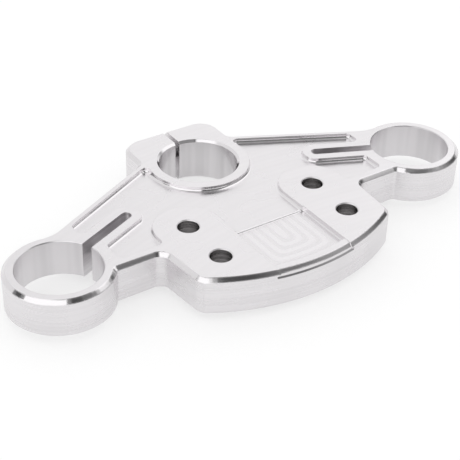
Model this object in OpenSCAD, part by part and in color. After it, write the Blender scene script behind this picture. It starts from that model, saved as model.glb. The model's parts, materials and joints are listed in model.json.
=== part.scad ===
// Upper triple clamp of a motorcycle front fork, milled from one aluminium plate.
// The origin lies on the steering stem axis, in the plane of the top faces. +X points to the
// rider's left, -Y points forward and +Z points up.

/* [Plate] */
// Thickness of the plate
plate_t = 23; // [20:0.5:26]
// Chamfer along the top outline
edge_chamfer = 2.4; // [1:0.1:3]
// Chamfer along the bottom outline
bottom_chamfer = 0.6; // [0.3:0.1:1.5]

/* [Fork clamps] */
// Distance between the two fork tube axes
fork_spacing = 250; // [240:1:262]
// Distance of the fork axes in front of the stem axis
fork_offset = 55; // [52:0.5:60]
// Diameter of the fork tubes
fork_bore_d = 49; // [43:0.1:50]
// Wall around the fork tubes
fork_wall = 6.9; // [6:0.1:9]
// Edge break of the fork bores
fork_bore_chamfer = 0.5; // [0.2:0.1:1]
// Width of the slot that lets a fork clamp close
fork_slot_w = 6.4; // [4:0.1:8]
// Length of that slot from the fork axis to its round end
fork_slot_l = 64.3; // [58:0.1:67]

/* [Stem clamp] */
// Diameter of the steering stem bore
stem_bore_d = 48.6; // [44:0.1:50]
// Chamfer at the top of the stem bore
stem_bore_chamfer = 1.5; // [0.5:0.1:2.5]
// Wall of the raised ring round the stem bore
stem_ring_wall = 7.5; // [6:0.1:9]
// How far the stem boss stands out below the plate
stem_boss_drop = 5; // [2:0.5:10]
// Half the width of the clamp block behind the stem
block_half_w = 33.5; // [32:0.1:36]
// Distance of the block's rear face behind the stem axis
block_rear = 41.8; // [40:0.1:46]
// Radius of the block's rear corners
block_corner_r = 13.5; // [8:0.5:15]
// Fillet between the block and the arms
block_fillet_r = 3.8; // [2:0.1:6]
// Width of the slot that lets the stem clamp close
stem_slot_w = 2.8; // [2:0.1:4]

/* [Arms] */
// Distance from a fork axis to the rear edge of its arm
arm_rear_gap = 22.6; // [20:0.1:25]
// How much an arm widens towards the stem, in degrees
arm_taper = 2.6; // [1.5:0.1:4]
// Fillet between the rear edge and the fork clamp
arm_rear_fillet_r = 22; // [14:0.5:26]
// Distance from a fork axis to the front face of its arm
arm_front_gap = 17.6; // [16:0.1:19]
// Fillet between the front face and the fork clamp
arm_front_fillet_r = 2.5; // [1.5:0.1:4]

/* [Riser block] */
// Distance between the left and right riser bolts
riser_spacing_x = 88.9; // [84:0.1:92]
// Distance between the rear and front riser bolts
riser_spacing_y = 33.8; // [31:0.1:36]
// Distance of the rear riser bolts in front of the stem axis
riser_rear_y = 58.8; // [57:0.1:60]
// Diameter of the riser bolt holes
riser_hole_d = 12.7; // [10:0.1:14]
// Chamfer of the riser bolt holes
riser_hole_chamfer = 0.6; // [0.3:0.1:1.2]
// Radius of the raised pad round a riser bolt
riser_pad_r = 20.5; // [18:0.1:21]
// Radius of the front face about the stem axis
front_r = 125; // [122:0.5:128]
// Radius of the front corners
front_corner_r = 9.6; // [6:0.1:14]
// Distance from a front riser bolt to the outer side of the block
riser_side_gap = 23.2; // [22:0.1:26]
// Draft of the outer sides of the block, in degrees
riser_side_angle = 5.4; // [2:0.1:8]
// Fillet in the notch between block and arm
notch_fillet_r = 6; // [4:0.1:9]

/* [Pocket] */
// Depth of the pocket that lightens the arms
pocket_depth = 3; // [2:0.1:4]
// Fillet between the pocket's walls and its floor
pocket_cove_r = 1.5; // [0.5:0.1:1.8]
// Corner radius of the pocket beside the stem ring
pocket_ring_corner_r = 3; // [2.5:0.1:4]
// Corner radius of the pocket at its outer ends and beside the pads
pocket_corner_r = 3.5; // [2.5:0.1:4]
// Width of the rail left along the rear edge of an arm
rail_w = 2.5; // [2:0.1:3.5]
// Width of the land left along the front face of an arm
front_land_w = 4.3; // [3:0.1:5]
// Half the width of the tongue left round a fork slot
tongue_half_w = 8.7; // [7.5:0.1:9.5]
// Distance from a fork axis to the pocket's end behind the slot
pocket_rear_end_gap = 24; // [22:0.1:30]
// Distance from a fork axis to the pocket's end in front of the slot
pocket_front_end_gap = 31.9; // [30:0.1:34]

/* [Centre panel] */
// Half the width of the panel between the pads
panel_half_w = 24.7; // [20:0.1:26]
// Distance of the panel's rear edge in front of the stem axis
panel_rear_y = 76.4; // [74:0.1:80]
// Step from the pocket floor down to the panel
panel_step = 0.3; // [0.1:0.1:0.6]
// Corner radius at the front of the panel
panel_corner_r = 3; // [2:0.1:5]
// Width of the land in front of the panel
panel_land_w = 3.7; // [3:0.1:6]
// Fillet between the panel's walls and its floor
panel_cove_r = 0.8; // [0.3:0.1:1.2]
// How far the land round the panel lies below the top faces
panel_relief = 0.3; // [0.1:0.1:0.6]
// How far the front face steps back below the panel
lip_depth = 0.9; // [0.5:0.1:1.2]
// Distance from the top faces to the foot of that step
lip_h = 4.9; // [4.5:0.1:8]
// Height of the groove along the foot
lip_groove_h = 2.2; // [1.6:0.1:2.4]
// How far the groove runs past each side of the panel
lip_over = 2.1; // [1.2:0.1:4]

/* [Pinch screws] */
// Diameter of the clearance holes for the pinch screws
pinch_clear_d = 8.5; // [6.5:0.1:9]
// Diameter of the holes drilled for the pinch screws' threads
pinch_thread_d = 6.8; // [5:0.1:7.5]
// Depth of those holes
pinch_thread_l = 18; // [12:0.5:22]
// Diameter of the counterbores for the screw heads
pinch_head_d = 14; // [11:0.1:14.5]
// Depth of the counterbores
pinch_head_l = 9; // [6:0.5:11]
// Depth of the screw axes below the top faces
pinch_z = 13; // [12:0.1:14]
// Distance of a fork's pinch screw from the fork axis
fork_pinch_at = 37; // [34:0.5:40]
// Distance of the stem's pinch screw behind the stem axis
stem_pinch_y = 33.4; // [32.5:0.1:34.5]

/* [Hidden] */
$fn = 120;
cut = 0.4;
lap = 0.15;
hair = 0.02;
hair_r = 20;
arc_step = 10;
arc_chord = 3;
cove_steps = 3;
cove_end_r = 1;
milled = "#d6d6d8";

fork_x = fork_spacing / 2;
fork_at = [fork_x, -fork_offset];
fork_dist = norm(fork_at);
slot_angle = atan2(fork_offset, fork_x);
slot_end_at = fork_dist - fork_slot_l + fork_slot_w / 2;
clamp_r = fork_bore_d / 2 + fork_wall;
stem_ring_r = stem_bore_d / 2 + stem_ring_wall;
riser_x = riser_spacing_x / 2;
riser_front_y = riser_rear_y + riser_spacing_y;
panel_depth = pocket_depth + panel_step;

// A line is [direction of its outward normal, distance from the origin along that normal].
rear_edge = through(90 - slot_angle - arm_taper, fork_at, arm_rear_gap);
arm_front = [-90, fork_offset + arm_front_gap];
block_side = [0, block_half_w];
block_back = [90, block_rear];
riser_side = through(-riser_side_angle, [riser_x, -riser_front_y], riser_side_gap);

// A corner is [x, y, radius]. The outline runs counter-clockwise, and a radius is positive
// where it turns left and negative where it turns right.
front_arc = [0, 0, front_r];
fork_clamp = [fork_x, -fork_offset, clamp_r];
outline = closed_loop([front_arc], [
    touching(riser_side, front_arc, front_corner_r, -1),
    corner(riser_side, arm_front, -notch_fillet_r),
    touching(arm_front, fork_clamp, -arm_front_fillet_r, -1),
    fork_clamp,
    touching(rear_edge, fork_clamp, -arm_rear_fillet_r, 1),
    corner(rear_edge, block_side, -block_fillet_r),
    corner(block_side, block_back, block_corner_r),
], []);

rail_line = inward(rear_edge, edge_chamfer + rail_w);
pocket_front = inward(arm_front, edge_chamfer + front_land_w);
pocket_rear_end = [0, fork_x - pocket_rear_end_gap];
pocket_front_end = [0, fork_x - pocket_front_end_gap];
tongue_front = [90 - slot_angle, -tongue_half_w];
tongue_rear = [-90 - slot_angle, -tongue_half_w];
pad_inner = [0, riser_x - riser_pad_r];
pad_outer = [180, -riser_x - riser_pad_r];
neck_corner_r = pocket_cove_r + cove_end_r;
neck_end = [-90, panel_rear_y + pocket_cove_r];
stem_ring = [0, 0, -stem_ring_r];
pocket = closed_loop([], [
    corner(neck_end, pad_inner, neck_corner_r),
    [riser_x, -riser_rear_y, -riser_pad_r],
    corner(pad_outer, pocket_front, pocket_corner_r),
    corner(pocket_front, pocket_front_end, pocket_corner_r),
    corner(pocket_front_end, tongue_front, pocket_corner_r),
    concat(slot_end_at * [cos(slot_angle), -sin(slot_angle)], [-tongue_half_w]),
    corner(tongue_rear, pocket_rear_end, pocket_corner_r),
    corner(pocket_rear_end, rail_line, pocket_corner_r),
    touching(rail_line, stem_ring, pocket_ring_corner_r, -1),
], [stem_ring]);

lip_r = front_r - lip_depth;
panel_arc = [0, 0, lip_r - edge_chamfer - panel_land_w];
panel_side = [0, panel_half_w];
panel_back = [90, -panel_rear_y];
panel = closed_loop([panel_arc], [
    touching(panel_side, panel_arc, panel_corner_r, -1),
    corner(panel_side, panel_back, panel_cove_r + cove_end_r),
], []);

function unit(a) = [cos(a), sin(a)];
function spot(c) = [c.x, c.y];

// The line with the given normal that passes a point at the given distance.
function through(normal, point, gap) = [normal, point * unit(normal) + gap];
function inward(line, by) = [line[0], line[1] - by];
function meet(a, b) =
    let (det = sin(b[0] - a[0]))
    [(a[1] * sin(b[0]) - b[1] * sin(a[0])) / det, (b[1] * cos(a[0]) - a[1] * cos(b[0])) / det];

// A corner of radius r between two lines.
function corner(a, b, r) = concat(meet(inward(a, r), inward(b, r)), [r]);

// A corner of radius r between a line and a circle. Side picks one of the two places.
function touching(line, circle, r, side) =
    let (
        n = unit(line[0]),
        along = [-n.y, n.x],
        away = line[1] - r - spot(circle) * n,
        reach = sqrt(pow(circle[2] - r, 2) - away * away)
    )
    concat(spot(circle) + away * n + side * reach * along, [r]);

function mirrored(corners) = [for (i = [len(corners) - 1:-1:0]) [-corners[i].x, corners[i].y, corners[i][2]]];
function closed_loop(front, right, rear) = concat(front, right, rear, mirrored(right));

// The heading of the straight stretch that leaves corner i and ends at the next one.
function heading(loop, i) =
    let (
        a = loop[i],
        b = loop[(i + 1) % len(loop)],
        gap = spot(b) - spot(a)
    )
    atan2(gap.y, gap.x) + asin(max(-1, min(1, (a[2] - b[2]) / norm(gap))));
function edge_point(c, heading) = spot(c) + c[2] * [sin(heading), -cos(heading)];
function turn(c, from, to) = c[2] > 0 ? (to - from + 720) % 360 : (from - to + 720) % 360;

// How far a circle's radius is raised, so that its arc crosses what it would only touch. A small
// circle gets more than a large one, because one may touch the other from inside.
function grip(r) = hair / (1 + r / hair_r);

// The area inside a loop: a polygon on the ends of its arcs, then each arc's own bulge.
module area(loop) {
    n = len(loop);
    headings = [for (i = [0:n - 1]) heading(loop, i)];
    starts = [for (i = [0:n - 1]) edge_point(loop[i], headings[(i + n - 1) % n])];
    stops = [for (i = [0:n - 1]) edge_point(loop[i], headings[i])];
    difference() {
        union() {
            polygon([for (i = [0:n - 1]) each norm(starts[(i + 1) % n] - stops[i]) > cut
                ? [starts[i], stops[i]] : [starts[i]]]);
            for (i = [0:n - 1]) if (loop[i][2] > 0) bulge(loop[i], starts[i], stops[i]);
        }
        for (i = [0:n - 1]) if (loop[i][2] < 0) bulge(loop[i], stops[i], starts[i]);
    }
}

// The part of a corner's circle beyond the chord between its ends, with some lap round it. A
// half circle or more is whole, because all of it lies on the same side of the edge.
module bulge(c, start, stop) {
    chord = stop - start;
    r = abs(c[2]);
    reach = 3 * sqrt(2 * r * grip(r));
    if ((spot(c) - start) * [-chord.y, chord.x] < r * r / 10) translate(spot(c)) circle(r + grip(r));
    else intersection() {
        translate(spot(c)) circle(r + grip(r));
        translate(start) rotate(atan2(chord.y, chord.x))
            translate([-reach, -r]) square([norm(chord) + 2 * reach, r + reach]);
    }
}

// The places where a sweep along a loop has a section, as [x, y and radius of the corner,
// heading, factor]. They lie between the places where the sweep's flats touch the arc, and the
// factor takes them out to where the flats meet.
function stations(loop) =
    let (n = len(loop))
    [for (i = [0:n - 1])
        let (
            c = loop[i],
            from = heading(loop, (i + n - 1) % n),
            swing = turn(c, from, heading(loop, i)),
            steps = ceil(max(swing / arc_step, abs(c[2]) * swing * PI / 180 / arc_chord)),
            half = swing / steps / 2
        )
        for (k = [0:steps - 1])
            concat(c, [from + sign(c[2]) * half * (2 * k + 1), 1 / cos(half)])];

// A ring swept along a loop. Its section's x points out of the loop and its y points up, and
// its points run counter-clockwise.
module ring(loop, section) {
    spots = stations(loop);
    n = len(spots);
    m = len(section);
    polyhedron(
        points = [for (s = spots, p = section)
            concat(edge_point([s.x, s.y, (s[2] + p.x) * s[4]], s[3]), [p.y])],
        faces = [for (i = [0:n - 1], j = [0:m - 1])
            let (next = (i + 1) % n * m, beside = (j + 1) % m)
            [i * m + j, i * m + beside, next + beside, next + j]]
    );
}

function top_chamfer(size) = [[-size - cut, cut], [cut, -size - cut], [cut, cut]];
function low_chamfer(size) = [[-size - cut, -cut], [cut, -cut], [cut, size + cut]];

// A fillet's section on the inside of a wall at x = 0 and a floor at y = 0. Its end flats run on
// into the wall and the floor.
function cove(r) =
    let (
        arc = [for (k = [0:cove_steps]) r * [cos(90 * k / cove_steps) - 1, 1 - sin(90 * k / cove_steps)]],
        run = lap / (arc[0].x - arc[1].x),
        top = arc[0] + run * (arc[0] - arc[1]),
        toe = [arc[0].y - top.y - r, -lap]
    )
    concat([[lap, -lap], top], [for (k = [1:cove_steps - 1]) arc[k]], [toe]);

// A straight hole with a chamfer at both mouths.
module bore(d, top, bottom, chamfer) {
    translate([0, 0, bottom - cut]) cylinder(d = d, h = top - bottom + 2 * cut);
    translate([0, 0, top - chamfer]) cylinder(d1 = d, d2 = d + 2 * chamfer + 2 * cut, h = chamfer + cut);
    translate([0, 0, bottom - cut]) cylinder(d1 = d + 2 * chamfer + 2 * cut, d2 = d, h = chamfer + cut);
}

module on_both_sides() {
    children();
    mirror([1, 0, 0]) children();
}

module plate() {
    difference() {
        translate([0, 0, -plate_t]) linear_extrude(plate_t) area(outline);
        ring(outline, top_chamfer(edge_chamfer));
        translate([0, 0, -plate_t]) ring(outline, low_chamfer(bottom_chamfer));
    }
}

module stem_boss() {
    bottom = -plate_t - stem_boss_drop;
    translate([0, 0, bottom]) cylinder(r1 = stem_ring_r - bottom_chamfer, r2 = stem_ring_r, h = bottom_chamfer);
    translate([0, 0, bottom + bottom_chamfer]) cylinder(r = stem_ring_r, h = plate_t / 2);
}

module pocket_cut() {
    translate([0, 0, -pocket_depth]) linear_extrude(pocket_depth + cut) area(pocket);
}

module pocket_cove() {
    translate([0, 0, -pocket_depth]) ring(pocket, cove(pocket_cove_r));
}

module panel_cut() {
    translate([0, 0, -panel_depth]) linear_extrude(panel_depth + cut) area(panel);
}

module panel_cove() {
    translate([0, 0, -panel_depth]) ring(panel, cove(panel_cove_r));
}

// What stays behind the step in the front face: a cone below, the step and its own top chamfer.
module lip_core() {
    out = front_r + edge_chamfer;
    rotate_extrude() polygon([
        [0, -lip_h - edge_chamfer], [out, -lip_h - edge_chamfer], [lip_r, -lip_h + lip_depth],
        [lip_r, -edge_chamfer], [lip_r - edge_chamfer - cut, cut], [0, cut],
    ]);
}

// The lowered land round the panel, and the step below it that ends in a groove.
module panel_frame() {
    reach = front_r + edge_chamfer;
    groove_r = lip_groove_h / 2;
    groove_x = panel_half_w + lip_over - groove_r;
    groove_z = groove_r - lip_h - lap;
    translate([-panel_half_w, -reach, -panel_relief])
        cube([2 * panel_half_w, reach - panel_rear_y, panel_relief + cut]);
    difference() {
        union() {
            translate([-panel_half_w, -reach, groove_z])
                cube([2 * panel_half_w, reach / 2, cut / 2 - groove_z]);
            translate([0, -reach / 2, groove_z]) rotate([90, 0, 0]) {
                translate([-groove_x, -groove_r, 0]) cube([2 * groove_x, lip_groove_h, reach / 2]);
                on_both_sides() translate([groove_x, 0, 0]) cylinder(r = groove_r, h = reach / 2);
            }
        }
        lip_core();
    }
}

module fork_cut() {
    translate([fork_x, -fork_offset, 0]) bore(fork_bore_d, 0, -plate_t, fork_bore_chamfer);
    translate([0, 0, -plate_t - cut]) rotate(-slot_angle) {
        translate([slot_end_at, -fork_slot_w / 2, 0])
            cube([fork_dist - slot_end_at, fork_slot_w, plate_t + 2 * cut]);
        translate([slot_end_at, 0, 0]) cylinder(d = fork_slot_w, h = plate_t + 2 * cut);
    }
}

module stem_cut() {
    bottom = -plate_t - stem_boss_drop;
    bore(stem_bore_d, 0, bottom, stem_bore_chamfer);
    translate([-stem_slot_w / 2, 0, bottom - cut]) cube([stem_slot_w, block_rear + cut, -bottom + 2 * cut]);
}

// A pinch screw's hole along +X, with the slot at x = 0 and the head seated at the given x.
module pinch_cut(seat) {
    rotate([0, 90, 0]) {
        cylinder(d = pinch_clear_d, h = seat + cut);
        translate([0, 0, seat]) cylinder(d = pinch_head_d, h = clamp_r);
        translate([0, 0, -pinch_thread_l]) cylinder(d = pinch_thread_d, h = pinch_thread_l + cut);
    }
}

module fork_pinch_cut() {
    at = fork_dist - fork_pinch_at;
    axis = 90 - slot_angle;
    face = (rear_edge[1] - at * unit(-slot_angle) * unit(rear_edge[0])) / cos(arm_taper);
    translate(concat(at * unit(-slot_angle), [-pinch_z])) rotate(axis) pinch_cut(face - pinch_head_l);
}

module stem_pinch_cut() {
    translate([0, stem_pinch_y, -pinch_z]) pinch_cut(block_half_w - pinch_head_l);
}

module riser_cut() {
    for (y = [riser_rear_y, riser_front_y])
        translate([riser_x, -y, 0]) bore(riser_hole_d, 0, -plate_t, riser_hole_chamfer);
}

module clamp_body() {
    color(milled) difference() {
        union() {
            difference() {
                union() {
                    difference() {
                        plate();
                        pocket_cut();
                    }
                    pocket_cove();
                }
                panel_cut();
            }
            panel_cove();
            stem_boss();
        }
        panel_frame();
        stem_cut();
        stem_pinch_cut();
        on_both_sides() {
            fork_cut();
            fork_pinch_cut();
            riser_cut();
        }
    }
}

clamp_body();
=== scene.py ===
import json
import math

import bmesh
import bpy
from bpy.props import FloatProperty, FloatVectorProperty, PointerProperty
from mathutils import Matrix, Vector


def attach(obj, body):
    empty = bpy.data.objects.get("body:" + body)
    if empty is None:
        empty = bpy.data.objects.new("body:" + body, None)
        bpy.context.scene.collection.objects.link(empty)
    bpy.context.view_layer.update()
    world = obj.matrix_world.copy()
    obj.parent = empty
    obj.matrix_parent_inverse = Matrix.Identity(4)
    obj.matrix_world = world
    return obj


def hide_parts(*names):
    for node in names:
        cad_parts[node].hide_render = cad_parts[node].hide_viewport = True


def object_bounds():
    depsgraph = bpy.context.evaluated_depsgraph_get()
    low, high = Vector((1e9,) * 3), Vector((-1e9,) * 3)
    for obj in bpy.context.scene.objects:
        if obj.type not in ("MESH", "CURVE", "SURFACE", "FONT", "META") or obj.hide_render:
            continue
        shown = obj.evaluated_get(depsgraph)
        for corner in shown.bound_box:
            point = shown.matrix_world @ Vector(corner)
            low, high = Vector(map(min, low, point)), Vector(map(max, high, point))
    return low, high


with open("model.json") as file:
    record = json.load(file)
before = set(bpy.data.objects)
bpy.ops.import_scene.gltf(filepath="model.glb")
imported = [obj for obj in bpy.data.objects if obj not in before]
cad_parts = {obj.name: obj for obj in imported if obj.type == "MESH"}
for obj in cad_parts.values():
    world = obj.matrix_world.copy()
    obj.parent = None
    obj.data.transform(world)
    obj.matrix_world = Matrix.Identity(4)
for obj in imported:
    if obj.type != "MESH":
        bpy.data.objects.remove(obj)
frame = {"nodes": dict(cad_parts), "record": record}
cad_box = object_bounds()

bl_info = {
    "name": "Triple clamp",
    "version": (1, 0, 0),
    "blender": (4, 5, 0),
    "location": "View3D > Sidebar > Triple clamp",
    "description": "Gives the milled triple clamp its machined finishes and sets up its studio",
    "category": "Object",
}

BODY_NODE = "clamp_body"
MM = 0.001
MICRON = 0.000001
DEGREES = 180 / math.pi

# Bores and bolt holes, from the record. The right half of the plan stands for both.
mounts = {mount["name"]: mount for mount in frame["record"]["mounts"]}
STEM_BORE_R = mounts["stem_bore"]["dims"]["r_mm"] * MM
FORK_AT = Vector(mounts["right_fork_bore"]["pos_m"]).xy
FORK_BORE_R = mounts["right_fork_bore"]["dims"]["r_mm"] * MM
RISERS = mounts["riser_bolts"]["dims"]
RISER_HOLE_R = RISERS["hole_r_mm"] * MM
RISER_MIDDLE = Vector((RISERS["spacing_x_mm"] * MM / 2, mounts["riser_bolts"]["pos_m"][1]))
RISER_STEP = Vector((0, RISERS["spacing_y_mm"] * MM / 2))
RISER_SPOTS = (RISER_MIDDLE + RISER_STEP, RISER_MIDDLE - RISER_STEP)

# How far past its own wall the chamfered mouth of a bore reaches
STEM_MOUTH = 2.5 * MM
FORK_MOUTH = 0.8 * MM
RISER_MOUTH = 1 * MM

# Plate, pocket, panel and lip, as in the CAD source. Depths are below the top faces.
PLATE_T = 23 * MM
POCKET_DEPTH = 3 * MM
PANEL_DEPTH = 3.3 * MM
PANEL_HALF_W = 24.7 * MM
PANEL_FRONT_R = 118 * MM
PANEL_CORNER = 8 * MM
PANEL_LANE = 5.6 * MM
TOP_CHAMFER_REACH = 1.9 * MM
LOW_CHAMFER_REACH = 0.7 * MM
LIP_FOOT_DEPTH = 5.5 * MM
FORK_SLOT_HALF_W = 3.3 * MM
FORK_SLOT_REACH = 66 * MM
STEM_SLOT_HALF_W = 1.5 * MM
DEPTH_MARGIN = 0.1 * MM

# How much a face looks up or down, from 0 on an upright wall to 1 on a level face
LEVEL = 0.99
SLANT_LEAST = 0.5
SLANT_MOST = 0.9
STEEP = 0.3

# How round an edge is shaded
EDGE_R = 0.4 * MM
CHAMFER_EDGE_R = 1.5 * MM
POCKET_EDGE_R = 0.8 * MM
LIP_EDGE_R = 0.2 * MM

# Where the face mill turned, and how closely its arcs lie, in radians to the metre
FACE_MILL_AT = (0.02, -0.33)
FINE_ARCS = 1400
WIDE_ARCS = 530

# The sockets of a Mix node that mixes colours
MIX_SHARE = 0
MIX_FIRST = 6
MIX_SECOND = 7
MIX_RESULT = 2

# The camera: its focal length and the picture's side in pixels, and its sensor in millimetres
FOCAL_LENGTH = 1218.19
PICTURE_SIDE = 460
SENSOR_W = 36

# How bright the light tent's cloth is, the cards at its left and at its rear, the gap in its
# front, and the dim room and the lamp behind the gap
CLOTH_TONE = 0.83
LEFT_CARD_TONE = 1.18
REAR_CARD_TONE = 0.975
GAP_TONE = 0.07
ROOM_TONE = 0.18
LAMP_TONE = 0.36

# How bright the tent's patches are
HIGH_FRONT_TONE = 0.28
SIDE_CARD_TONE = 1.15
DARK_STRIP_TONE = 0.06
CROWN_TONE = 0.28
PEAK_TONE = 0.5
LOW_FRONT_TONE = 0.95
FOOT_TONE = 0.87

# How many degrees the side card's slanted end drops for each degree round the tent
SIDE_CARD_SLANT = 0.42


class Wire:
    """A socket of a node tree. Sums and products of wires and numbers add Math nodes."""

    def __init__(self, tree, socket):
        self.tree = tree
        self.socket = socket

    def math(self, operation, *others):
        return self.tree.add("ShaderNodeMath", {"operation": operation}, [self, *others])[0]

    def __add__(self, other):
        return self.math("ADD", other)

    __radd__ = __add__

    def __sub__(self, other):
        return self.math("SUBTRACT", other)

    def __rsub__(self, other):
        return -self + other

    def __mul__(self, other):
        return self.math("MULTIPLY", other)

    __rmul__ = __mul__

    def __truediv__(self, other):
        return self.math("DIVIDE", other)

    def __pow__(self, other):
        return self.math("POWER", other)

    def __neg__(self):
        return self * -1

    def absolute(self):
        return self.math("ABSOLUTE")

    def sine(self):
        return self.math("SINE")

    def most(self, other):
        return self.math("MAXIMUM", other)

    def step(self, low, high):
        """0 below low and 1 above high, with a smooth ramp between them."""
        return self.tree.add(
            "ShaderNodeMapRange",
            {"interpolation_type": "SMOOTHSTEP"},
            {"Value": self, "From Min": low, "From Max": high},
        )["Result"]

    def band(self, centre, half, soft):
        """1 within half of the centre, and 0 from half + soft on."""
        return 1 - (self - centre).absolute().step(half, half + soft)

    def towards(self, value, share):
        """This value where share is 0, and the other one where it is 1."""
        return self + (value - self) * share


class Sockets:
    """The outputs of a node, as wires, by name or number."""

    def __init__(self, tree, node):
        self.tree = tree
        self.node = node

    def __getitem__(self, key):
        return Wire(self.tree, self.node.outputs[key])


class Tree:
    """The node tree of a material or of the world."""

    def __init__(self, owner):
        owner.use_nodes = True
        self.nodes = owner.node_tree.nodes
        self.links = owner.node_tree.links
        self.nodes.clear()

    def add(self, kind, settings=None, inputs=None):
        """A node of a type, with its settings, then the values or wires of its sockets."""
        node = self.nodes.new(kind)
        for name, value in (settings or {}).items():
            setattr(node, name, value)
        pairs = enumerate(inputs) if isinstance(inputs, list) else (inputs or {}).items()
        for key, value in pairs:
            if isinstance(value, Wire):
                self.links.new(value.socket, node.inputs[key])
            else:
                node.inputs[key].default_value = value
        return Sockets(self, node)

    def here(self):
        """The place of a point on the piece, in metres."""
        return self.add("ShaderNodeTexCoord")["Object"]

    def parts(self, vector):
        """The sockets X, Y and Z of a vector."""
        return self.add("ShaderNodeSeparateXYZ", inputs=[vector])

    def noise(self, vector, waves, detail=2.0, roughness=0.5):
        """Noise from 0 to 1, with its own number of waves to the metre along each axis."""
        scaled = self.add("ShaderNodeMapping", inputs={"Vector": vector, "Scale": waves})["Vector"]
        inputs = {"Vector": scaled, "Scale": 1.0, "Detail": detail, "Roughness": roughness}
        return self.add("ShaderNodeTexNoise", inputs=inputs)["Fac"]

    def mix(self, share, one, other):
        """One colour turning into another as share goes from 0 to 1."""
        inputs = {MIX_SHARE: share, MIX_FIRST: (*one, 1), MIX_SECOND: (*other, 1)}
        return self.add("ShaderNodeMix", {"data_type": "RGBA"}, inputs)[MIX_RESULT]

    def metal(self, colour, roughness, relief, depth, edge=EDGE_R):
        """Bare metal with this colour, roughness and relief, and with its edges softened."""
        rounded = self.add("ShaderNodeBevel", {"samples": 6}, {"Radius": edge})["Normal"]
        marked = self.add(
            "ShaderNodeBump",
            inputs={"Height": relief, "Strength": 1.0, "Distance": depth, "Normal": rounded},
        )["Normal"]
        surface = self.add(
            "ShaderNodeBsdfPrincipled",
            inputs={"Base Color": colour, "Roughness": roughness, "Metallic": 1.0, "Normal": marked},
        )[0]
        self.add("ShaderNodeOutputMaterial", inputs=[surface])


def material(name):
    made = bpy.data.materials.new(name)
    return made, Tree(made)


def shade(colour, factor):
    return tuple(c * factor for c in colour)


# Finishes

def face_milled(name, colour, depth):
    """A flat face with the faint wide arcs that a face mill leaves."""
    made, tree = material(name)
    here = tree.here()
    at = tree.parts(here)
    x, y = at["X"], at["Y"]
    sweep = ((x - FACE_MILL_AT[0]) ** 2 + (y - FACE_MILL_AT[1]) ** 2) ** 0.5
    arcs = (sweep * FINE_ARCS).sine() * 0.5 + (sweep * WIDE_ARCS + 1).sine() * 0.5
    patches = tree.noise(here, (30, 30, 30))
    marks = arcs * patches
    tone = (marks * 0.5 + patches - 0.2).step(-0.3, 1.0)
    mottled = tree.mix(tone, shade(colour, 0.975), shade(colour, 1.015))
    tree.metal(mottled, patches * 0.08 + 0.24, marks, depth)
    return made


def panel_milled(name, colour, depth):
    """The panel's floor, with the tool's path nested inside its outline."""
    made, tree = material(name)
    here = tree.here()
    at = tree.parts(here)
    x, y = at["X"], at["Y"]
    from_side = PANEL_HALF_W - x.absolute()
    from_front = PANEL_FRONT_R - (x ** 2 + y ** 2) ** 0.5
    lane = from_side.math("SMOOTH_MIN", from_front, PANEL_CORNER)
    rows = (lane * (2 * math.pi / PANEL_LANE)).sine() * 0.5 + 0.5
    fine = tree.noise(here, (60, 60, 60))
    tone = rows * 0.8 + fine * 0.2
    striped = tree.mix(tone, shade(colour, 0.95), shade(colour, 1.04))
    tree.metal(striped, tone * 0.06 + 0.24, rows, depth)
    return made


def side_milled(name, colour, roughness, waves, depth, contrast):
    """A wall cut by the side of an end mill: fine lines along it, and long uneven patches of painted
    reflection, darker and lighter, that also vary its roughness.
    """
    made, tree = material(name)
    here = tree.here()
    lines = tree.noise(here, waves, detail=3.0, roughness=0.6)
    patches = tree.noise(here, (40, 40, 14))
    # The patches darken and lighten the colour: painted reflection
    tone = (lines * 0.6 + patches * 0.4).step(0.3, 0.7)
    lined = tree.mix(tone, shade(colour, 1 - contrast), shade(colour, 1 + contrast / 2))
    tree.metal(lined, lines * 0.06 + patches * 0.08 + (roughness - 0.07), lines, depth)
    return made


def bored(name, colour, roughness, depth, contrast):
    """A bored wall: fine rings round it, and upright bands of painted reflection that darken it at
    random and vary its roughness.
    """
    made, tree = material(name)
    here = tree.here()
    rings = tree.noise(here, (6, 6, 1000), detail=3.0, roughness=0.6)
    reflection_and_roughness_bands = tree.noise(here, (85, 85, 4), roughness=0.6)
    # Painted reflection: the upright bands darken the bore's colour
    reflection_banded = tree.mix(reflection_and_roughness_bands.step(0.35, 0.65), shade(colour, 1 - contrast), colour)
    tree.metal(reflection_banded, rings * 0.05 + reflection_and_roughness_bands * 0.1 + (roughness - 0.07), rings, depth)
    return made


def drilled(name, colour, roughness, depth):
    """A drilled hole, rougher, with rings round its wall, in a darker colour that is painted shade."""
    made, tree = material(name)
    rings = tree.noise(tree.here(), (25, 25, 900), detail=3.0, roughness=0.6)
    ringed = tree.mix(rings.step(0.35, 0.65), shade(colour, 0.7), shade(colour, 1.25))
    tree.metal(ringed, rings * 0.2 + (roughness - 0.1), rings, depth)
    return made


def polished(name, colour, roughness, depth, edge=EDGE_R):
    """A narrow band cut with a fine tool, nearly a mirror."""
    made, tree = material(name)
    grain = tree.noise(tree.here(), (14, 14, 1500), roughness=0.6)
    tree.metal((*colour, 1), grain * 0.08 + (roughness - 0.04), grain, depth, edge)
    return made


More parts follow.
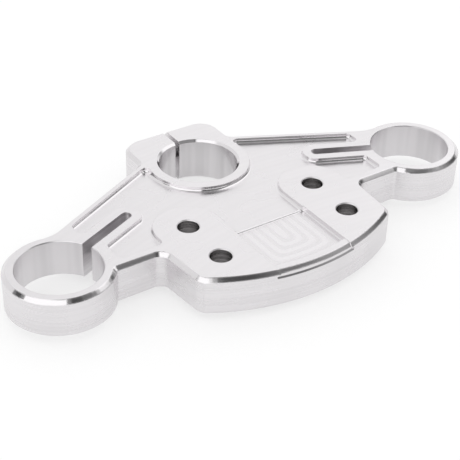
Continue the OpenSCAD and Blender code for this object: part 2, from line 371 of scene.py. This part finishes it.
def clamp_materials(metal, shaded_hole_metal):
    """The material of each finish, by the finish's name."""
    fine = {"depth": MICRON}
    recipes = {
        "top_face": (face_milled, metal, {"depth": 0.6 * MICRON}),
        "pocket_floor": (face_milled, shade(metal, 0.99), fine),
        "panel_floor": (panel_milled, metal, {"depth": 25 * MICRON}),
        "underside": (face_milled, metal, {"depth": 2 * MICRON}),
        "chamfer": (polished, metal, {
            "roughness": 0.13, "depth": 14 * MICRON, "edge": CHAMFER_EDGE_R}),
        "pocket_wall": (polished, metal, {"roughness": 0.07, "edge": POCKET_EDGE_R, **fine}),
        "cove": (polished, metal, {"roughness": 0.06, **fine}),
        "lip_foot": (polished, metal, {"roughness": 0.07, "edge": LIP_EDGE_R, **fine}),
        "stem_chamfer": (polished, metal, {"roughness": 0.10, "depth": 3 * MICRON}),
        "hole_chamfer": (polished, metal, {"roughness": 0.4, **fine}),
        "wall": (side_milled, metal, {
            "roughness": 0.27, "waves": (6, 6, 700), "depth": 2 * MICRON, "contrast": 0.06}),
        "fork_bore": (bored, metal, {"roughness": 0.30, "depth": 2 * MICRON, "contrast": 0.12}),
        "stem_bore": (bored, metal, {"roughness": 0.20, "depth": 2 * MICRON, "contrast": 0.16}),
        "slot": (side_milled, metal, {
            "roughness": 0.36, "waves": (20, 20, 1300), "depth": 10 * MICRON, "contrast": 0.2}),
        # The riser holes take the darker colour, which is painted shade
        "riser_hole": (drilled, shaded_hole_metal, {"roughness": 0.24, "depth": 15 * MICRON}),
    }
    return {name: make(name, colour, **how) for name, (make, colour, how) in recipes.items()}


class ClampFinishes(bpy.types.PropertyGroup):
    """How the clamp's metal looks"""
    metal_colour: FloatVectorProperty(
        name="Aluminium", description="Colour of the bare aluminium",
        subtype="COLOR", size=3, min=0, max=1, default=(0.855, 0.835, 0.85))
    # Darker than the bare aluminium: painted shade inside the riser holes
    shaded_hole_colour: FloatVectorProperty(
        name="Drilled holes", description="Colour of the metal inside the riser holes",
        subtype="COLOR", size=3, min=0, max=1, default=(0.53, 0.52, 0.52))
    smooth_angle: FloatProperty(
        name="Smooth angle", description="Edges flatter than this are shaded smooth",
        subtype="ANGLE", default=math.radians(36))
    merge_distance: FloatProperty(
        name="Merge distance", description="Corners of the CAD mesh closer than this are one corner",
        subtype="DISTANCE", unit="LENGTH", default=MICRON, precision=7)


class ClampStudio(bpy.types.PropertyGroup):
    """The floor, the light tent and the camera"""
    floor_colour: FloatVectorProperty(
        name="Floor", description="Colour of the floor",
        subtype="COLOR", size=3, min=0, max=1, default=(0.44, 0.44, 0.44))
    floor_fill: FloatProperty(
        name="Floor fill", description="Light that the floor gives off, so that it ends up white",
        min=0, max=1, default=0.58)
    mirrored_fill: FloatProperty(
        name="Mirrored fill", description="The same light, as the clamp's walls mirror it",
        min=0, max=1, default=0.48)
    tent_radius: FloatProperty(
        name="Tent radius", description="Distance of the light tent from its middle",
        subtype="DISTANCE", unit="LENGTH", default=0.65)
    tent_centre: FloatVectorProperty(
        name="Tent centre", description="The light tent's middle",
        subtype="XYZ", unit="LENGTH", size=3, default=(0.0, -0.05, 0.0))
    floor_size: FloatProperty(
        name="Floor size", description="Side of the floor",
        subtype="DISTANCE", unit="LENGTH", default=14.0)
    azimuth: FloatProperty(
        name="Camera azimuth", description="Turn of the camera round the clamp, from straight in front",
        subtype="ANGLE", default=math.radians(-34.888))
    elevation: FloatProperty(
        name="Camera elevation", description="Height of the camera above the plate",
        subtype="ANGLE", default=math.radians(34.370))
    roll: FloatProperty(
        name="Camera roll", description="Turn of the camera about its own axis",
        subtype="ANGLE", default=math.radians(1.708))
    distance: FloatProperty(
        name="Camera distance", description="Distance from the camera to the point it looks at",
        subtype="DISTANCE", unit="LENGTH", default=0.69472)
    target: FloatVectorProperty(
        name="Camera target", description="The point the camera looks at",
        subtype="XYZ", unit="LENGTH", size=3, default=(-0.02630, -0.07458, 0.0))
    lens: FloatProperty(
        name="Lens", description="Focal length for a sensor 36 mm wide",
        subtype="DISTANCE_CAMERA", default=FOCAL_LENGTH / PICTURE_SIDE * SENSOR_W)


def level_finish(z, up):
    """The finish of a level face, from its height and which way it looks."""
    if up < 0:
        return "underside"
    if z < -(POCKET_DEPTH + PANEL_DEPTH) / 2:
        return "panel_floor"
    return "pocket_floor" if z < -POCKET_DEPTH / 2 else "top_face"


def in_slot(spot):
    """Whether a spot of the right half of the plan lies in a fork slot or the stem slot."""
    from_fork = spot - FORK_AT
    outward = FORK_AT.normalized()
    in_fork_slot = (
        abs(from_fork.cross(outward)) < FORK_SLOT_HALF_W
        and from_fork.dot(outward) < 0
        and from_fork.length < FORK_SLOT_REACH
    )
    in_stem_slot = spot.x < STEM_SLOT_HALF_W and spot.y > 0
    return in_fork_slot or in_stem_slot


def finish_of(face):
    """The name of the finish of a face, from where it lies and where it looks."""
    middle = face.calc_center_median()
    up = face.normal.z
    lean = abs(up)
    if lean > LEVEL:
        return level_finish(middle.z, up)
    slanted = SLANT_LEAST < lean < SLANT_MOST
    spot = Vector((abs(middle.x), middle.y))
    if spot.length < STEM_BORE_R + STEM_MOUTH:
        return "stem_chamfer" if slanted else "stem_bore"
    if (spot - FORK_AT).length < FORK_BORE_R + FORK_MOUTH:
        return "fork_bore"
    if min((spot - riser).length for riser in RISER_SPOTS) < RISER_HOLE_R + RISER_MOUTH:
        return "hole_chamfer" if slanted else "riser_hole"
    if slanted and (middle.z > -TOP_CHAMFER_REACH or middle.z < LOW_CHAMFER_REACH - PLATE_T):
        return "chamfer"
    if slanted and up > 0 and middle.z > -LIP_FOOT_DEPTH and spot.length > PANEL_FRONT_R:
        return "lip_foot"
    if min(corner.co.z for corner in face.verts) > -PANEL_DEPTH - DEPTH_MARGIN:
        return "pocket_wall" if lean < STEEP else "cove"
    return "slot" if in_slot(spot) else "wall"


def with_weighted_normals(context, mesh):
    """A copy of a mesh whose shading follows its larger faces."""
    rough = bpy.data.objects.new("rough_body", mesh)
    context.scene.collection.objects.link(rough)
    weigh = rough.modifiers.new("Weighted normals", "WEIGHTED_NORMAL")
    weigh.keep_sharp = True
    weigh.mode = "FACE_AREA_WITH_ANGLE"
    weigh.weight = 50
    context.view_layer.update()
    depsgraph = context.evaluated_depsgraph_get()
    finished = bpy.data.meshes.new_from_object(rough.evaluated_get(depsgraph), depsgraph=depsgraph)
    bpy.data.objects.remove(rough)
    return finished


class CLAMP_OT_body(bpy.types.Operator):
    """Copy the CAD body, shade it smooth and give each of its faces its machined finish"""
    bl_idname = "clamp.body"
    bl_label = "Machined body"

    def execute(self, context):
        style = context.scene.clamp_finishes
        finishes = clamp_materials(tuple(style.metal_colour), tuple(style.shaded_hole_colour))
        names = list(finishes)
        shape = bmesh.new()
        shape.from_mesh(frame["nodes"][BODY_NODE].data)
        bmesh.ops.remove_doubles(shape, verts=shape.verts, dist=style.merge_distance)
        bmesh.ops.dissolve_degenerate(shape, edges=shape.edges, dist=style.merge_distance)
        shape.normal_update()
        for face in shape.faces:
            face.smooth = True
            face.material_index = names.index(finish_of(face))
        for edge in shape.edges:
            flat = edge.calc_face_angle(math.pi) < style.smooth_angle
            edge.smooth = flat and len(edge.link_faces) == 2
        mesh = bpy.data.meshes.new("rough_body")
        shape.to_mesh(mesh)
        shape.free()
        for finish in finishes.values():
            mesh.materials.append(finish)
        finished = with_weighted_normals(context, mesh)
        finished.name = "machined_body"
        piece = bpy.data.objects.new("machined_body", finished)
        context.scene.collection.objects.link(piece)
        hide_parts(BODY_NODE)
        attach(piece, "root")
        return {"FINISHED"}


# Studio

def floor_paint(studio):
    """White to the camera and in the metal, but for the clamp's shadow, and clear from below."""
    paint, tree = material("floor")
    path = tree.add("ShaderNodeLightPath")
    mirrored = path["Is Glossy Ray"].most(path["Is Transmission Ray"])
    fill = path["Is Camera Ray"] * studio.floor_fill + mirrored * studio.mirrored_fill
    matt = tree.add("ShaderNodeBsdfDiffuse", inputs={"Color": (*studio.floor_colour, 1)})[0]
    glow = tree.add("ShaderNodeEmission", inputs={"Color": fill})[0]
    both = tree.add("ShaderNodeAddShader", inputs=[matt, glow])[0]
    from_below = tree.add("ShaderNodeNewGeometry")["Backfacing"]
    clear = tree.add("ShaderNodeBsdfTransparent")[0]
    one_sided = tree.add("ShaderNodeMixShader", inputs=[from_below, both, clear])[0]
    tree.add("ShaderNodeOutputMaterial", inputs=[one_sided])
    return paint


def tent_glow(tree, centre):
    """How bright the light tent is at each place on it.

    Heights and turns are in degrees, a turn from straight in front towards +X.
    """
    away = tree.add("ShaderNodeVectorMath", {"operation": "SUBTRACT"}, [tree.here(), centre])[0]
    way = tree.add("ShaderNodeVectorMath", {"operation": "NORMALIZE"}, [away])[0]
    at = tree.parts(way)
    height = at["Z"].math("ARCSINE") * DEGREES
    turn = at["X"].math("ARCTAN2", -at["Y"]) * DEGREES
    left_card = turn.band(centre=-51, half=47, soft=15)
    rear_card = turn.band(centre=143, half=5, soft=55)
    gap = turn.step(-30, -23) * (1 - turn.step(89, 119))
    room = turn.band(centre=41, half=24, soft=23)
    lamp = turn.band(centre=50, half=0, soft=27)
    high_front = height.step(50, 60) * turn.band(centre=20, half=36, soft=8)
    slanted_end = (height + turn * SIDE_CARD_SLANT).step(54, 62)
    side_card = slanted_end * height.step(17, 27) * turn.band(centre=86, half=36, soft=6)
    dark_strip = height.band(centre=25, half=5, soft=4) * turn.band(centre=-109, half=6, soft=5)
    crown = height.step(66, 72)
    peak = height.step(77, 87)
    low_front = (1 - height.step(15, 22)) * turn.band(centre=-15, half=40, soft=12)
    foot = 1 - height.step(2, 9)
    glow = CLOTH_TONE + (LEFT_CARD_TONE - CLOTH_TONE) * left_card
    glow = glow.towards(REAR_CARD_TONE, rear_card)
    glow = glow.towards(GAP_TONE, gap)
    glow = glow.towards(ROOM_TONE, room)
    glow = glow.towards(LAMP_TONE, lamp)
    glow = glow.towards(HIGH_FRONT_TONE, high_front)
    glow = glow.towards(SIDE_CARD_TONE, side_card)
    glow = glow.towards(DARK_STRIP_TONE, dark_strip)
    glow = glow.towards(CROWN_TONE, crown)
    glow = glow.towards(PEAK_TONE, peak)
    glow = glow.towards(LOW_FRONT_TONE, low_front)
    return glow.towards(FOOT_TONE, foot)


def tent_cloth(centre):
    """Cloth that gives off the tent's light."""
    cloth, tree = material("light_tent")
    lit = tree.add("ShaderNodeEmission", inputs={"Color": tent_glow(tree, centre)})[0]
    tree.add("ShaderNodeOutputMaterial", inputs=[lit])
    return cloth


def new_object(context, name, shape, finish):
    """A new object in the scene, from a bmesh and its one material."""
    mesh = bpy.data.meshes.new(name)
    shape.to_mesh(mesh)
    shape.free()
    mesh.materials.append(finish)
    made = bpy.data.objects.new(name, mesh)
    context.scene.collection.objects.link(made)
    return made


class CLAMP_OT_stage(bpy.types.Operator):
    """Lay the floor, light the room and set the camera"""
    bl_idname = "clamp.stage"
    bl_label = "Studio"

    def execute(self, context):
        studio = context.scene.clamp_studio
        self.lay_floor(context, studio)
        self.light_room(context)
        self.raise_tent(context, studio)
        self.set_camera(context, studio)
        context.scene.view_settings.view_transform = "Standard"
        return {"FINISHED"}

    def lay_floor(self, context, studio):
        """A floor under the clamp's lowest point."""
        shape = bmesh.new()
        bmesh.ops.create_grid(shape, x_segments=1, y_segments=1, size=studio.floor_size / 2)
        bmesh.ops.translate(shape, verts=shape.verts, vec=(0, 0, cad_box[0].z))
        floor = new_object(context, "floor", shape, floor_paint(studio))

    def light_room(self, context):
        """Even white light from all sides, which the metal doesn't mirror."""
        world = bpy.data.worlds.new("studio")
        context.scene.world = world
        tree = Tree(world)
        sky = tree.add("ShaderNodeBackground", inputs={"Color": (1, 1, 1, 1), "Strength": 1.0})[0]
        tree.add("ShaderNodeOutputWorld", inputs=[sky])
        world.cycles_visibility.glossy = False

    def raise_tent(self, context, studio):
        """A round tent that only shows in the metal."""
        shape = bmesh.new()
        bmesh.ops.create_uvsphere(shape, u_segments=64, v_segments=32, radius=studio.tent_radius)
        bmesh.ops.translate(shape, verts=shape.verts, vec=studio.tent_centre)
        bmesh.ops.reverse_faces(shape, faces=shape.faces)
        tent = new_object(context, "light_tent", shape, tent_cloth(tuple(studio.tent_centre)))
        tent.visible_camera = False
        tent.visible_diffuse = False
        tent.visible_transmission = False
        tent.visible_shadow = False

    def set_camera(self, context, studio):
        """The photograph's viewpoint."""
        camera = bpy.data.cameras.new("camera")
        camera.sensor_width = SENSOR_W
        camera.lens = studio.lens
        camera.clip_start = 0.05
        camera.clip_end = 50
        eye = bpy.data.objects.new("camera", camera)
        context.scene.collection.objects.link(eye)
        turn, rise = studio.azimuth, studio.elevation
        right = Vector((math.cos(turn), math.sin(turn), 0))
        forward = Vector((-math.sin(turn), math.cos(turn), 0))
        back = forward * -math.cos(rise) + Vector((0, 0, math.sin(rise)))
        basis = Matrix((right, back.cross(right), back)).transposed().to_4x4()
        basis = basis @ Matrix.Rotation(studio.roll, 4, "Z")
        basis.translation = Vector(studio.target) + back * studio.distance
        eye.matrix_world = basis
        context.scene.camera = eye


class CLAMP_PT_panel(bpy.types.Panel):
    """Both operators, each with its settings"""
    bl_idname = "CLAMP_PT_panel"
    bl_label = "Triple clamp"
    bl_space_type = "VIEW_3D"
    bl_region_type = "UI"
    bl_category = "Triple clamp"

    def draw(self, context):
        for operator, group in (("clamp.body", "clamp_finishes"), ("clamp.stage", "clamp_studio")):
            box = self.layout.box()
            box.operator(operator)
            settings = getattr(context.scene, group)
            for name in settings.bl_rna.properties.keys():
                if name not in {"rna_type", "name"}:
                    box.prop(settings, name)


CLASSES = (ClampFinishes, ClampStudio, CLAMP_OT_body, CLAMP_OT_stage, CLAMP_PT_panel)


def register():
    for item in CLASSES:
        bpy.utils.register_class(item)
    bpy.types.Scene.clamp_finishes = PointerProperty(type=ClampFinishes)
    bpy.types.Scene.clamp_studio = PointerProperty(type=ClampStudio)


def unregister():
    del bpy.types.Scene.clamp_studio
    del bpy.types.Scene.clamp_finishes
    for item in reversed(CLASSES):
        bpy.utils.unregister_class(item)


def main():
    register()
    bpy.ops.clamp.body()
    bpy.ops.clamp.stage()


if __name__ == "__main__":
    main()
